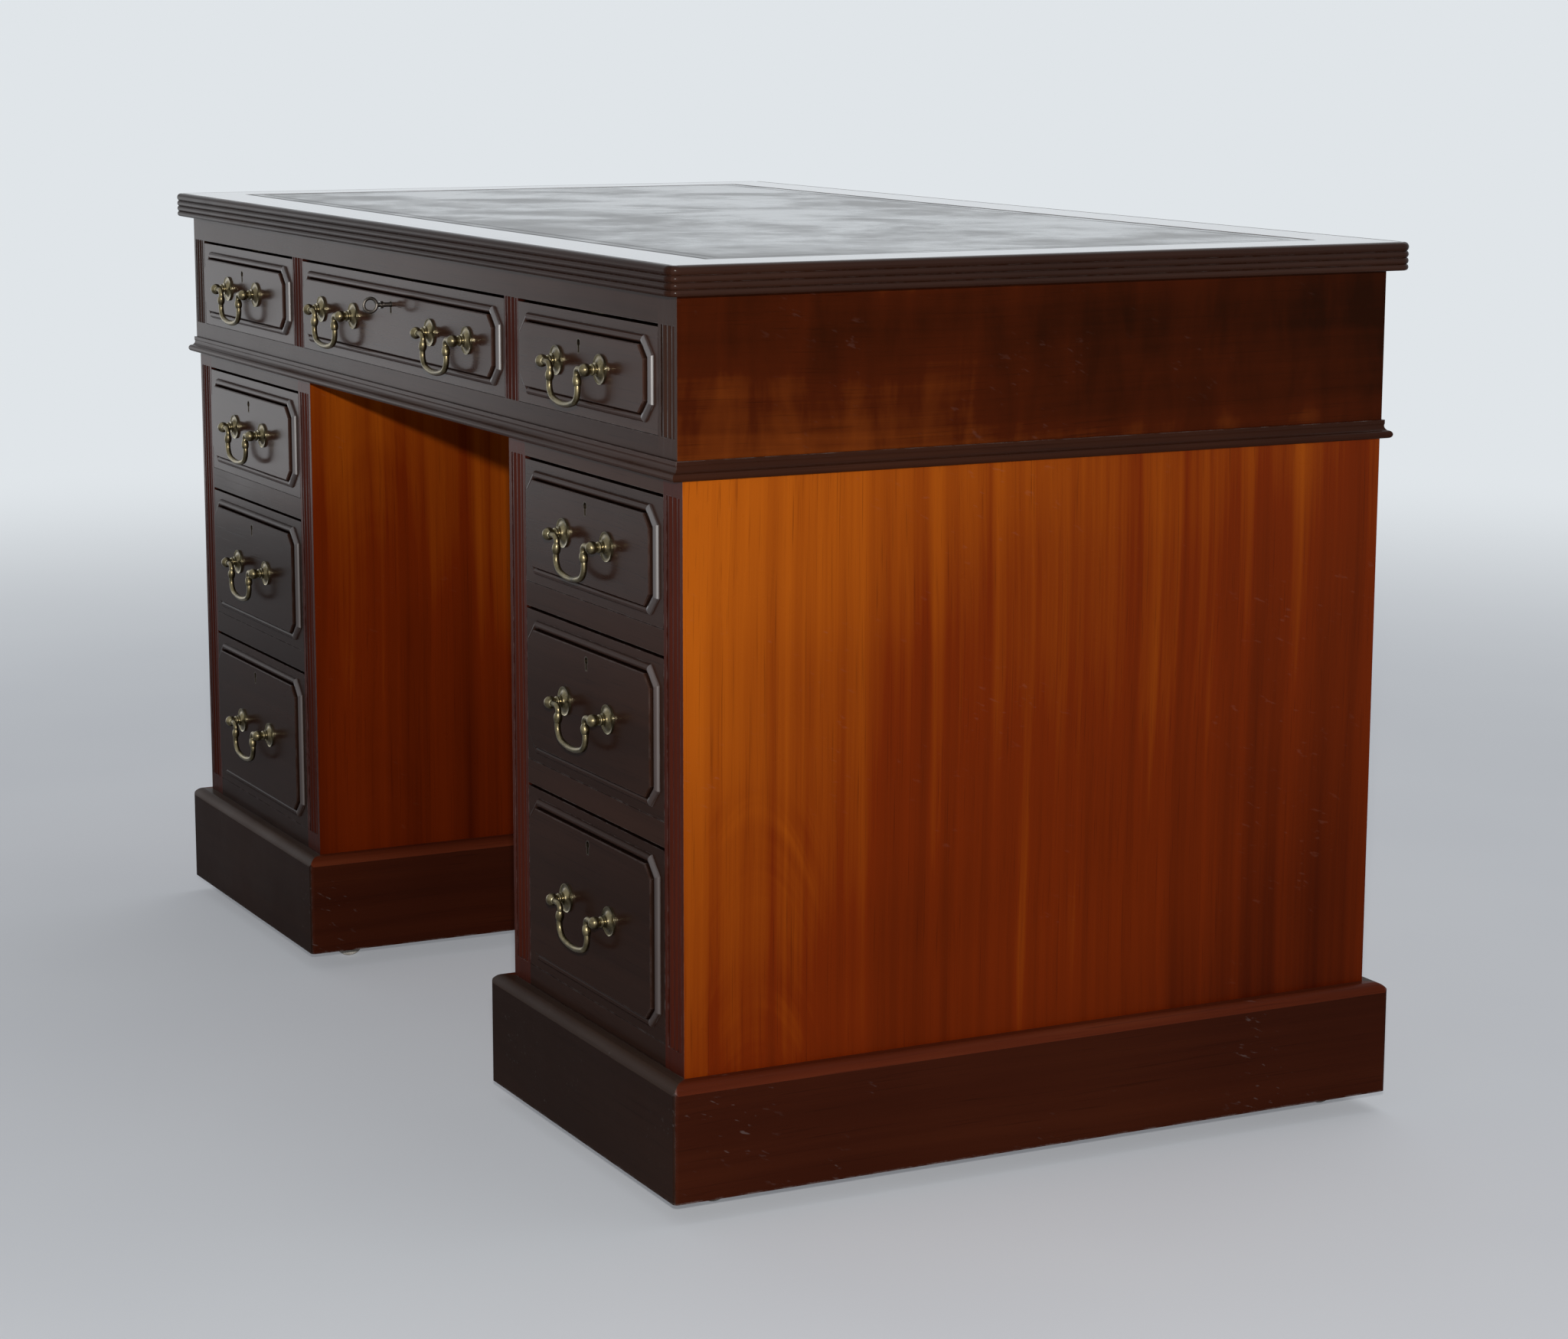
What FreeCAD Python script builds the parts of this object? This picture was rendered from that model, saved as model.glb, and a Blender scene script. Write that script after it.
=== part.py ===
import FreeCAD, Part
import math
import os

# Pedestal desk: a top section with three frieze drawers stands on two
# pedestals of three drawers each. Millimetres, +Z up, the front faces -Y,
# the floor is at zero and the origin is midway between the front of the
# key and the back of the top.

# Heights, from the floor up
plinth_lift = 18.0
plinth_height = 100.5
pedestal_height = 490.5
frieze_height = 146.5
top_thickness = 24.5

# Top, leather and reeded edge
top_width = 1270.0
top_depth = 710.0
edging_depth = 8.0
edging_corner_radius = 10.0
edging_valley = 1.7
edging_top_round = 4.5
edging_bottom_round = 3.0
edging_reed_shares = (0.31, 0.23, 0.23, 0.23)
leather_border = 60.0
leather_thickness = 1.4
leather_fit = 0.5
leather_drop = 0.2

# Frieze case
frieze_width = 1234.0
frieze_depth = 680.0
carcase_thickness = 19.0
frame_thickness = 20.0
frieze_stile_width = 35.0
frieze_bottom_rail = 32.5
frieze_opening_height = 89.5
centre_opening_width = 528.0
muntin_width = 30.0
partition_thickness = 14.0

# Reeds worked on stiles and muntins
reed_count = 3
reed_width = 8.4
reed_depth = 1.9

# Moulding at the waist
waist_height = 16.0
waist_reach = 7.5
waist_fillet_reach = 2.2
waist_fillet_height = 3.2
waist_nose_radius = 3.4
waist_hollow = 0.9

# Pedestals
pedestal_width = 357.0
pedestal_end_proud = 1.0
pedestal_front_setback = 4.0
pedestal_back_setback = 2.0
pedestal_stile_width = 36.0
pedestal_top_rail = 14.5
pedestal_bottom_rail = 19.5
pedestal_rail = 21.5
upper_opening = 110.0
middle_opening = 137.5
inner_board = 12.0

# Plinth
plinth_board = 20.0
plinth_reach = 17.0
plinth_shelf = 4.0
plinth_slope_drop = 8.5
plinth_corner_radius = 4.0
plinth_block = 74.0
plinth_swell_share = 0.72

# Runners under the drawers and guides beside them
runner_bearing = 14.0
runner_height = 12.0
guide_height = 18.0

# Drawers
drawer_length = 604.0
drawer_side_gap = 0.6
drawer_foot_gap = 0.4
drawer_head_gap = 2.6
front_board = 16.0
front_lap = 5.0
drawer_side = 9.0
drawer_side_drop = 5.0
drawer_bottom = 6.0
drawer_bottom_lift = 8.0
drawer_groove = 4.0
tail_pitch = 34.0
tail_width_share = 0.62
tail_flare = 2.2

# Panel on each drawer front
panel_margin = 8.0
panel_bead_width = 7.5
panel_bead_height = 3.6
panel_raise = 6.0
panel_cant = 11.0
panel_arris = 0.8

# Swan-neck handles
post_spacing = 90.0
post_reach = 14.0
rose_radius = 12.5
rose_rim = 1.8
rose_hollow_end = 4.2
collar_radius = 5.6
collar_length = 1.4
neck_radius = 3.6
neck_bead_radius = 5.0
neck_bead_half = 1.4
ball_radius = 5.5
bail_radius = 2.6
bail_swell_radius = 3.8
bail_swell_end_share = 0.95
bail_pin_beyond = 2.0
bail_fit = 0.05
bail_end_play = 0.6
bail_neck_start = 12.5
bail_neck_radius = 5.0
bail_leg_length = 9.5
bail_corner_radius = 12.5
bail_turn_degrees = 100.0
bail_bow_degrees = 16.0
centre_handle_offset = 146.0

# Locks, keyholes and the key
lock_width = 54.0
lock_height = 40.0
lock_depth = 9.0
lock_wall = 1.2
lock_plate = 2.0
keyhole_drop = 24.0
keyhole_radius = 2.9
keyhole_slot_width = 2.8
keyhole_slot_drop = 8.0
escutcheon_rim = 0.8
escutcheon_depth = 2.5
bolt_width = 22.0
bolt_thickness = 4.4
bolt_gap = 0.35
bolt_over_key = 5.0
bolt_flush_drop = 0.5
bolt_throw = 7.0
mortise_depth = 7.0
key_radius = 2.2
key_fit = 0.05
key_tail = 2.0
key_reach = 14.0
key_bow_radius = 6.4
key_bow_wire = 1.6
key_collar_radius = 3.4
key_collar_length = 3.0
key_bit_reach = 7.5
key_bit_length = 4.6
key_bit_thickness = 1.8

# Castors
wheel_radius = 15.0
wheel_width = 14.0
wheel_rim_round = 4.0
axle_radius = 2.5
axle_fit = 0.05
axle_end = 1.5
castor_trail = 9.0
castor_inset = 31.0
cheek_thickness = 3.0
cheek_gap = 1.0
cheek_boss = 6.0
crown_gap = 3.0
crown_thickness = 5.0
crown_radius = 12.0
swivel_gap = 0.4
castor_plate = 3.0
castor_plate_side = 48.0
pintle_radius = 4.0
pintle_fit = 0.05
pintle_head_radius = 6.5
pintle_head = 2.5
pintle_room = 1.2

# One overrun for every cut
overrun = 5.0

# Levels and planes that follow from the sizes
plinth_top = plinth_lift + plinth_height
waist_level = plinth_top + pedestal_height
frieze_top = waist_level + frieze_height
desk_height = frieze_top + top_thickness
frieze_front = -frieze_depth / 2
frieze_back = frieze_depth / 2
pedestal_front = frieze_front + pedestal_front_setback
pedestal_back = frieze_back - pedestal_back_setback
pedestal_outer = frieze_width / 2 + pedestal_end_proud
pedestal_middle = pedestal_outer - pedestal_width / 2
field_inset = panel_margin + panel_bead_width
key_front = frieze_front - panel_raise - key_reach - 2 * key_bow_radius - key_bow_wire
frame_shift = -(key_front + top_depth / 2) / 2

Vector = FreeCAD.Vector
origin = Vector(0, 0, 0)
right = Vector(1, 0, 0)
back = Vector(0, 1, 0)
up = Vector(0, 0, 1)
sides = {"left": -1, "right": 1}


def board(x_span, y_span, z_span):
    """A squared board between three pairs of planes."""
    corner = Vector(min(x_span), min(y_span), min(z_span))
    length = abs(x_span[1] - x_span[0])
    depth = abs(y_span[1] - y_span[0])
    height = abs(z_span[1] - z_span[0])
    return Part.makeBox(length, depth, height, corner)


def about(middle, length):
    """The two ends of a length laid about its middle."""
    return (middle - length / 2, middle + length / 2)


def flat_face(points):
    """A flat face inside straight edges."""
    return Part.Face(Part.makePolygon(points + points[:1]))


def wire_face(curves):
    """A flat face inside a chain of lines and arcs."""
    edges = [curve.toShape() for curve in curves]
    return Part.Face(Part.Wire(Part.__sortEdges__(edges)))


def line(start, end):
    """A straight edge between two points."""
    return Part.LineSegment(start, end)


def arc(start, middle, end):
    """A round edge through three points."""
    return Part.Arc(start, middle, end)


def joined(shapes):
    """One solid from several that touch or overlap."""
    whole = shapes[0].multiFuse(shapes[1:])
    return whole.removeSplitter()


def rounded_rectangle(width, depth, radius, level):
    """A closed path with quarter-round corners, starting mid-front."""
    half_x = width / 2
    half_y = depth / 2
    curves = []
    start = Vector(0, -half_y, level)
    for turn_x, turn_y in ((1, -1), (1, 1), (-1, 1), (-1, -1)):
        corner = Vector(turn_x * half_x, turn_y * half_y, level)
        along_x = corner - right * (turn_x * radius)
        along_y = corner - back * (turn_y * radius)
        centre = along_x - back * (turn_y * radius)
        crown = centre + (corner - centre) * (1 / math.sqrt(2))
        first, last = (along_x, along_y) if turn_x * turn_y < 0 else (along_y, along_x)
        curves.append(line(start, first))
        curves.append(arc(first, crown, last))
        start = last
    curves.append(line(start, Vector(0, -half_y, level)))
    return Part.Wire([curve.toShape() for curve in curves])


def rounded_slab(width, depth, radius, bottom, top):
    """A slab with quarter-round corners, between two levels."""
    outline = rounded_rectangle(width, depth, radius, bottom)
    return Part.Face(outline).extrude(up * (top - bottom))


def quarter_turns(half_width, half_depth):
    """Offset, half run and turn of the right, back, left and front sides."""
    turns = []
    for quarter in range(4):
        if quarter % 2 == 0:
            turns.append((half_width, half_depth, quarter * 90))
        else:
            turns.append((half_depth, half_width, quarter * 90))
    return turns


def mitre_wedge(offset, half_run, depth_span, z_span):
    """The room of one mitred length facing +X, its ends cut at 45 degrees.

    depth_span runs from the inner to the outer side, about the offset."""
    inset, reach = depth_span
    inner_end = half_run + inset
    outer_end = half_run + reach
    plan = [
        Vector(offset + inset, -inner_end, z_span[0]),
        Vector(offset + reach, -outer_end, z_span[0]),
        Vector(offset + reach, outer_end, z_span[0]),
        Vector(offset + inset, inner_end, z_span[0]),
    ]
    return flat_face(plan).extrude(up * (z_span[1] - z_span[0]))


def mitred_frame(profile, half_width, half_depth):
    """Four mitred lengths of one profile round a rectangle.

    The profile lies in the XZ plane with its outward side at +X."""
    bounds = profile.BoundBox
    room = (bounds.ZMin - overrun, bounds.ZMax + overrun)
    lengths = []
    for offset, half_run, turn in quarter_turns(half_width, half_depth):
        half_bar = half_run + bounds.XMax + overrun
        bar = profile.translated(Vector(offset, -half_bar, 0))
        bar = bar.extrude(back * (half_bar * 2))
        wedge = mitre_wedge(offset, half_run, (bounds.XMin, bounds.XMax), room)
        lengths.append(bar.common(wedge).rotated(origin, up, turn))
    return lengths


def edging_ring():
    """The reeded edge of the top, one profile run round the outline."""
    front = -top_depth / 2
    curves = []
    level = desk_height
    start = Vector(0, front + edging_top_round, level)
    inner_top = Vector(0, front + edging_depth, desk_height)
    inner_bottom = Vector(0, front + edging_depth, frieze_top)
    curves.append(line(inner_top, start))
    ends = [edging_valley] * (len(edging_reed_shares) - 1) + [edging_bottom_round]
    for share, depth in zip(edging_reed_shares, ends):
        height = share * top_thickness
        end = Vector(0, front + depth, level - height)
        crest = Vector(0, front, level - height / 2)
        curves.append(arc(start, crest, end))
        start = end
        level = level - height
    curves.append(line(start, inner_bottom))
    curves.append(line(inner_bottom, inner_top))
    profile = Part.Wire([curve.toShape() for curve in curves])
    path = rounded_rectangle(top_width, top_depth, edging_corner_radius, desk_height)
    return path.makePipeShell([profile], True, True)


def edging_lengths():
    """The reeded edge, cut at its corners into four mitred lengths."""
    ring = edging_ring()
    room = (frieze_top - overrun, desk_height + overrun)
    depth_span = (-edging_depth - overrun, overrun)
    lengths = []
    for offset, half_run, turn in quarter_turns(top_width / 2, top_depth / 2):
        wedge = mitre_wedge(offset, half_run, depth_span, room)
        lengths.append(ring.common(wedge.rotated(origin, up, turn)))
    return lengths


def desk_top():
    """Core panel, four mitred border boards and the reeded edging."""
    core_width = top_width - 2 * leather_border
    core_depth = top_depth - 2 * leather_border
    core_top = desk_height - leather_thickness - leather_drop
    core = board(about(0, core_width), about(0, core_depth), (frieze_top, core_top))
    section = flat_face([
        Vector(-leather_border, 0, frieze_top),
        Vector(-edging_depth, 0, frieze_top),
        Vector(-edging_depth, 0, desk_height),
        Vector(-leather_border, 0, desk_height),
    ])
    inner_slab = rounded_slab(
        top_width - 2 * edging_depth,
        top_depth - 2 * edging_depth,
        edging_corner_radius - edging_depth,
        frieze_top,
        desk_height,
    )
    lengths = mitred_frame(section, top_width / 2, top_depth / 2)
    return [core] + edging_lengths() + [length.common(inner_slab) for length in lengths]


def writing_leather():
    """The hide, laid in the recess that the border leaves."""
    width = top_width - 2 * leather_border - 2 * leather_fit
    depth = top_depth - 2 * leather_border - 2 * leather_fit
    top = desk_height - leather_drop
    return [board(about(0, width), about(0, depth), (top - leather_thickness, top))]


def reed_waste(middle, front, z_span):
    """The wood taken away to leave a bank of half-round reeds."""
    width = reed_count * reed_width
    first = middle - width / 2
    curves = []
    level = min(z_span)
    for reed in range(reed_count):
        near = first + reed * reed_width
        far = near + reed_width
        start = Vector(near, front + reed_depth, level)
        end = Vector(far, front + reed_depth, level)
        crest = Vector((near + far) / 2, front, level)
        curves.append(arc(start, crest, end))
    left_edge = Vector(first, front - overrun, level)
    right_edge = Vector(first + width, front - overrun, level)
    curves.append(line(Vector(first, front + reed_depth, level), left_edge))
    curves.append(line(left_edge, right_edge))
    curves.append(line(right_edge, Vector(first + width, front + reed_depth, level)))
    return wire_face(curves).extrude(up * (max(z_span) - level))


def frieze_case():
    """End boards and back board of the top section."""
    half = frieze_width / 2
    height = (waist_level, frieze_top)
    run = (frieze_front + frame_thickness, frieze_back)
    pieces = []
    for side in sides.values():
        pieces.append(board((side * half, side * (half - carcase_thickness)), run, height))
    inner = half - carcase_thickness
    pieces.append(board((-inner, inner), (frieze_back - carcase_thickness, frieze_back), height))
    return pieces


frieze_opening = (
    waist_level + frieze_bottom_rail,
    waist_level + frieze_bottom_rail + frieze_opening_height,
)
muntin_middle = centre_opening_width / 2 + muntin_width / 2
side_opening_inner = centre_opening_width / 2 + muntin_width
side_opening_outer = frieze_width / 2 - frieze_stile_width
side_opening_width = side_opening_outer - side_opening_inner
side_opening_middle = (side_opening_outer + side_opening_inner) / 2


def bolt_mortise(middle, rail_bottom, front):
    """The slot in a rail that takes the bolt of the lock below it."""
    bolt_middle = front + front_board - lock_depth / 2
    x_span = about(middle, bolt_width + 2 * bolt_gap)
    y_span = about(bolt_middle, bolt_thickness + 2 * bolt_gap)
    return board(x_span, y_span, (rail_bottom - overrun, rail_bottom + mortise_depth))


def frieze_front_frame():
    """Stiles, rails and muntins round the three frieze drawers."""
    half = frieze_width / 2
    depth = (frieze_front, frieze_front + frame_thickness)
    low, high = frieze_opening
    pieces = []
    for side in sides.values():
        middle = side * (half - frieze_stile_width / 2)
        stile = board(about(middle, frieze_stile_width), depth, (waist_level, frieze_top))
        pieces.append(stile.cut(reed_waste(middle, frieze_front, frieze_opening)))
        middle = side * muntin_middle
        muntin = board(about(middle, muntin_width), depth, frieze_opening)
        pieces.append(muntin.cut(reed_waste(middle, frieze_front, frieze_opening)))
    inner = half - frieze_stile_width
    top_rail = board((-inner, inner), depth, (high, frieze_top))
    for middle in (-side_opening_middle, 0, side_opening_middle):
        top_rail = top_rail.cut(bolt_mortise(middle, high, frieze_front))
    pieces.append(top_rail)
    pieces.append(board((-inner, inner), depth, (waist_level, low)))
    return pieces


def drawer_track(opening_middle, opening_width, wall_span, foot, run):
    """A runner under each drawer side, with a guide beside the drawer.

    wall_span holds the faces of the two boards the runners are fixed to."""
    pieces = []
    for side, wall in ((-1, wall_span[0]), (1, wall_span[1])):
        edge = opening_middle + side * opening_width / 2
        bearing = edge - side * runner_bearing
        pieces.append(board((wall, bearing), run, (foot - runner_height, foot)))
        if abs(wall - edge) > overrun:
            pieces.append(board((wall, edge), run, (foot, foot + guide_height)))
    return pieces


def frieze_partitions():
    """Upright partitions behind the muntins, with runners and guides."""
    run = (frieze_front + frame_thickness, frieze_back - carcase_thickness)
    foot = frieze_opening[0]
    pieces = []
    for side in sides.values():
        middle = side * muntin_middle
        pieces.append(board(about(middle, partition_thickness), run, (waist_level, frieze_top)))
    inner_face = muntin_middle - partition_thickness / 2
    outer_face = muntin_middle + partition_thickness / 2
    wall = frieze_width / 2 - carcase_thickness
    pieces += drawer_track(0, centre_opening_width, (-inner_face, inner_face), foot, run)
    pieces += drawer_track(side_opening_middle, side_opening_width, (outer_face, wall), foot, run)
    pieces += drawer_track(-side_opening_middle, side_opening_width, (-wall, -outer_face), foot, run)
    return pieces


def waist_moulding():
    """Fillet, hollow and round nose, mitred round the foot of the frieze."""
    top = waist_level + waist_height
    neck = top - waist_fillet_height
    nose_back = waist_reach - waist_nose_radius
    nose_top = waist_level + 2 * waist_nose_radius
    nose_middle = waist_level + waist_nose_radius
    foot = Vector(0, 0, waist_level)
    head = Vector(0, 0, top)
    fillet_top = Vector(waist_fillet_reach, 0, top)
    fillet_bottom = Vector(waist_fillet_reach, 0, neck)
    nose_start = Vector(nose_back, 0, nose_top)
    nose_crest = Vector(waist_reach, 0, nose_middle)
    nose_end = Vector(nose_back, 0, waist_level)
    hollow = (fillet_bottom + nose_start) / 2 - Vector(waist_hollow, 0, waist_hollow)
    curves = [
        line(foot, head),
        line(head, fillet_top),
        line(fillet_top, fillet_bottom),
        arc(fillet_bottom, hollow, nose_start),
        arc(nose_start, nose_crest, nose_end),
        line(nose_end, foot),
    ]
    return mitred_frame(wire_face(curves), frieze_width / 2, frieze_depth / 2)


def pedestal_openings():
    """Bottom and top levels of the three drawer openings, from the top down."""
    high = waist_level - pedestal_top_rail
    low = high - upper_opening
    openings = [(low, high)]
    high = low - pedestal_rail
    low = high - middle_opening
    openings.append((low, high))
    openings.append((plinth_top + pedestal_bottom_rail, low - pedestal_rail))
    return openings


def pedestal_case(side):
    """Side boards, back, top and bottom, with the runners and guides."""
    middle = side * pedestal_middle
    outer = about(middle, pedestal_width)
    inner = about(middle, pedestal_width - 2 * carcase_thickness)
    run = (pedestal_front + frame_thickness, pedestal_back)
    inner_run = (pedestal_front + frame_thickness, pedestal_back - carcase_thickness)
    height = (plinth_top, waist_level)
    openings = pedestal_openings()
    pieces = []
    for wall, face in zip(outer, inner):
        pieces.append(board((wall, face), run, height))
    pieces.append(board(inner, (pedestal_back - carcase_thickness, pedestal_back), height))
    pieces.append(board(inner, inner_run, (waist_level - inner_board, waist_level)))
    pieces.append(board(inner, inner_run, (plinth_top, openings[-1][0] - runner_height)))
    opening_width = pedestal_width - 2 * pedestal_stile_width
    for low, high in openings:
        pieces += drawer_track(middle, opening_width, inner, low, inner_run)
    return pieces


def pedestal_front_frame(side):
    """Two reeded stiles and four rails round the pedestal drawers."""
    middle = side * pedestal_middle
    depth = (pedestal_front, pedestal_front + frame_thickness)
    openings = pedestal_openings()
    reeds = (openings[-1][0], openings[0][1])
    pieces = []
    for edge in sides.values():
        at = middle + edge * (pedestal_width - pedestal_stile_width) / 2
        stile = board(about(at, pedestal_stile_width), depth, (plinth_top, waist_level))
        pieces.append(stile.cut(reed_waste(at, pedestal_front, reeds)))
    inner = about(middle, pedestal_width - 2 * pedestal_stile_width)
    rail_tops = [waist_level] + [low for low, high in openings]
    rail_bottoms = [high for low, high in openings] + [plinth_top]
    for bottom, top in zip(rail_bottoms, rail_tops):
        rail = board(inner, depth, (bottom, top))
        if bottom > plinth_top:
            rail = rail.cut(bolt_mortise(middle, bottom, pedestal_front))
        pieces.append(rail)
    return pieces


def castor_places():
    """Name, pedestal and swivel centre of each castor."""
    ends = {"front": pedestal_front + castor_inset, "back": pedestal_back - castor_inset}
    reach = pedestal_width / 2 - castor_inset
    faces = {"outer": pedestal_middle + reach, "inner": pedestal_middle - reach}
    places = []
    for pedestal, side in sides.items():
        for end, depth in ends.items():
            for face, across in faces.items():
                place = Vector(side * across, depth, 0)
                places.append((f"{pedestal}_{end}_{face}", pedestal, place))
    return places


crown_bottom = 2 * wheel_radius + crown_gap
crown_top = crown_bottom + crown_thickness
plate_bottom = crown_top + swivel_gap
plate_top = plate_bottom + castor_plate


def plinth(pedestal):
    """Four mitred, moulded boards with a block in each corner."""
    middle = Vector(sides[pedestal] * pedestal_middle, (pedestal_front + pedestal_back) / 2, 0)
    depth = pedestal_back - pedestal_front
    shoulder = plinth_top - plinth_slope_drop
    rise = plinth_reach - plinth_shelf
    swell = Vector(
        plinth_shelf + rise * plinth_swell_share,
        0,
        shoulder + plinth_slope_drop * plinth_swell_share,
    )
    inner = plinth_reach - plinth_board
    curves = [
        line(Vector(inner, 0, plinth_lift), Vector(plinth_reach, 0, plinth_lift)),
        line(Vector(plinth_reach, 0, plinth_lift), Vector(plinth_reach, 0, shoulder)),
        arc(Vector(plinth_reach, 0, shoulder), swell, Vector(plinth_shelf, 0, plinth_top)),
        line(Vector(plinth_shelf, 0, plinth_top), Vector(inner, 0, plinth_top)),
        line(Vector(inner, 0, plinth_top), Vector(inner, 0, plinth_lift)),
    ]
    envelope = rounded_slab(
        pedestal_width + 2 * plinth_reach,
        depth + 2 * plinth_reach,
        plinth_corner_radius,
        plinth_lift,
        plinth_top,
    )
    lengths = mitred_frame(wire_face(curves), pedestal_width / 2, depth / 2)
    pieces = [length.common(envelope).translated(middle) for length in lengths]
    corner_x = pedestal_width / 2 + inner
    corner_y = depth / 2 + inner
    pocket_radius = pintle_head_radius + pintle_room
    pocket_depth = pintle_head + 2 * pintle_room + overrun
    for name, owner, place in castor_places():
        if owner != pedestal:
            continue
        way_x = math.copysign(1, place.x - middle.x)
        way_y = math.copysign(1, place.y - middle.y)
        x_span = (middle.x + way_x * corner_x, middle.x + way_x * (corner_x - plinth_block))
        y_span = (middle.y + way_y * corner_y, middle.y + way_y * (corner_y - plinth_block))
        block = board(x_span, y_span, (plate_top, plinth_top))
        foot = place + up * (plate_top - overrun)
        pieces.append(block.cut(Part.makeCylinder(pocket_radius, pocket_depth, foot)))
    return pieces


def castor_plates():
    """The plates under the corner blocks that the castors swivel in."""
    height = castor_plate + 2 * overrun
    pieces = []
    for name, pedestal, place in castor_places():
        x_span = about(place.x, castor_plate_side)
        y_span = about(place.y, castor_plate_side)
        plate = board(x_span, y_span, (plate_bottom, plate_top))
        foot = place + up * (plate_bottom - overrun)
        pieces.append(plate.cut(Part.makeCylinder(pintle_radius + pintle_fit, height, foot)))
    return pieces


def castor_horn(place):
    """Crown, pintle, two cheeks and the axle, swivelling under a plate."""
    axle_at = place + back * castor_trail + up * wheel_radius
    crown = Part.makeCylinder(crown_radius, crown_thickness, place + up * crown_bottom)
    pintle_length = plate_top + pintle_room - crown_top
    pintle = Part.makeCylinder(pintle_radius, pintle_length, place + up * crown_top)
    head = Part.makeCylinder(pintle_head_radius, pintle_head, place + up * (plate_top + pintle_room))
    cheek_inner = wheel_width / 2 + cheek_gap
    shapes = [crown, pintle, head]
    for way in sides.values():
        plan = [
            Vector(0, place.y - cheek_inner, crown_bottom),
            Vector(0, place.y - cheek_inner, crown_top),
            Vector(0, place.y + cheek_inner, crown_top),
            Vector(0, axle_at.y + cheek_boss, wheel_radius + cheek_boss),
            Vector(0, axle_at.y + cheek_boss, wheel_radius - cheek_boss / 2),
            Vector(0, axle_at.y + cheek_boss / 2, wheel_radius - cheek_boss),
            Vector(0, axle_at.y - cheek_boss / 2, wheel_radius - cheek_boss),
            Vector(0, axle_at.y - cheek_boss, wheel_radius),
        ]
        cheek = flat_face(plan).extrude(right * (way * cheek_thickness))
        shapes.append(cheek.translated(right * (place.x + way * cheek_inner)))
    web = board(about(place.x, 2 * cheek_inner), about(place.y, 2 * cheek_inner), (crown_bottom, crown_top))
    axle_length = 2 * (cheek_inner + cheek_thickness + axle_end)
    axle = Part.makeCylinder(axle_radius, axle_length, axle_at - right * (axle_length / 2), right)
    return [joined(shapes + [web, axle])]


def castor_wheel(place):
    """A turned ceramic wheel with rounded rims."""
    half = wheel_width / 2
    axle_at = place + back * castor_trail + up * wheel_radius
    bore = axle_radius + axle_fit
    shoulder = wheel_radius - wheel_rim_round
    easing = wheel_rim_round * (1 - 1 / math.sqrt(2))
    tread = half - wheel_rim_round
    curves = [line(Vector(-half, bore, 0), Vector(half, bore, 0))]
    curves.append(line(Vector(-tread, wheel_radius, 0), Vector(tread, wheel_radius, 0)))
    for way in sides.values():
        inner_end = Vector(way * half, bore, 0)
        outer_end = Vector(way * half, shoulder, 0)
        rim = Vector(way * (half - easing), wheel_radius - easing, 0)
        tread_end = Vector(way * tread, wheel_radius, 0)
        curves.append(line(inner_end, outer_end))
        curves.append(arc(outer_end, rim, tread_end))
    wheel = wire_face(curves).revolve(origin, right, 360)
    return [wheel.translated(axle_at)]


def drawer_list():
    """Name, middle, opening and front plane of every drawer."""
    drawers = [
        ("frieze_left_drawer", -side_opening_middle, side_opening_width, frieze_opening, frieze_front),
        ("frieze_centre_drawer", 0, centre_opening_width, frieze_opening, frieze_front),
        ("frieze_right_drawer", side_opening_middle, side_opening_width, frieze_opening, frieze_front),
    ]
    width = pedestal_width - 2 * pedestal_stile_width
    for pedestal, side in sides.items():
        middle = side * pedestal_middle
        for row, opening in zip(("upper", "middle", "lower"), pedestal_openings()):
            drawers.append((f"{pedestal}_{row}_drawer", middle, width, opening, pedestal_front))
    return drawers


def canted_outline(x_span, z_span, inset, cant, plane):
    """A rectangle with its corners cut at 45 degrees, inset from an edge."""
    left_edge = min(x_span) + inset
    right_edge = max(x_span) - inset
    low = min(z_span) + inset
    high = max(z_span) - inset
    return [
        Vector(right_edge - cant, plane, low),
        Vector(right_edge, plane, low + cant),
        Vector(right_edge, plane, high - cant),
        Vector(right_edge - cant, plane, high),
        Vector(left_edge + cant, plane, high),
        Vector(left_edge, plane, high - cant),
        Vector(left_edge, plane, low + cant),
        Vector(left_edge + cant, plane, low),
    ]


def panel_bead(x_span, z_span, front):
    """A half-round bead mitred through the eight corners of the panel."""
    outer_cant = panel_cant + panel_bead_width * (2 - math.sqrt(2))
    plane = front + panel_arris
    outer = canted_outline(x_span, z_span, panel_margin, outer_cant, plane)
    inner = canted_outline(x_span, z_span, field_inset, panel_cant, plane)
    lengths = []
    for corner in range(len(outer)):
        near, far = outer[corner - 1], outer[corner]
        plan = flat_face([near, far, inner[corner], inner[corner - 1]])
        wedge = plan.extrude(-back * (panel_bead_height + panel_arris + overrun))
        along = (far - near).normalize()
        inward = along.cross(back)
        foot = near - along * overrun
        edge = foot - back * panel_arris
        crest = edge + inward * (panel_bead_width / 2) - back * panel_bead_height
        far_edge = edge + inward * panel_bead_width
        far_foot = foot + inward * panel_bead_width
        section = wire_face([
            line(foot, edge),
            arc(edge, crest, far_edge),
            line(far_edge, far_foot),
            line(far_foot, foot),
        ])
        bar = section.extrude(along * ((far - near).Length + 2 * overrun))
        lengths.append(bar.common(wedge))
    return lengths


def panel_field(x_span, z_span, front):
    """The raised canted field, its front arris eased."""
    outline = flat_face(canted_outline(x_span, z_span, field_inset, panel_cant, front + panel_arris))
    field = outline.extrude(-back * (panel_raise + panel_arris))
    face_level = front - panel_raise
    rim = [edge for edge in field.Edges if abs(edge.BoundBox.YMax - face_level) < panel_arris / 2]
    return field.makeChamfer(panel_arris, rim)


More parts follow.
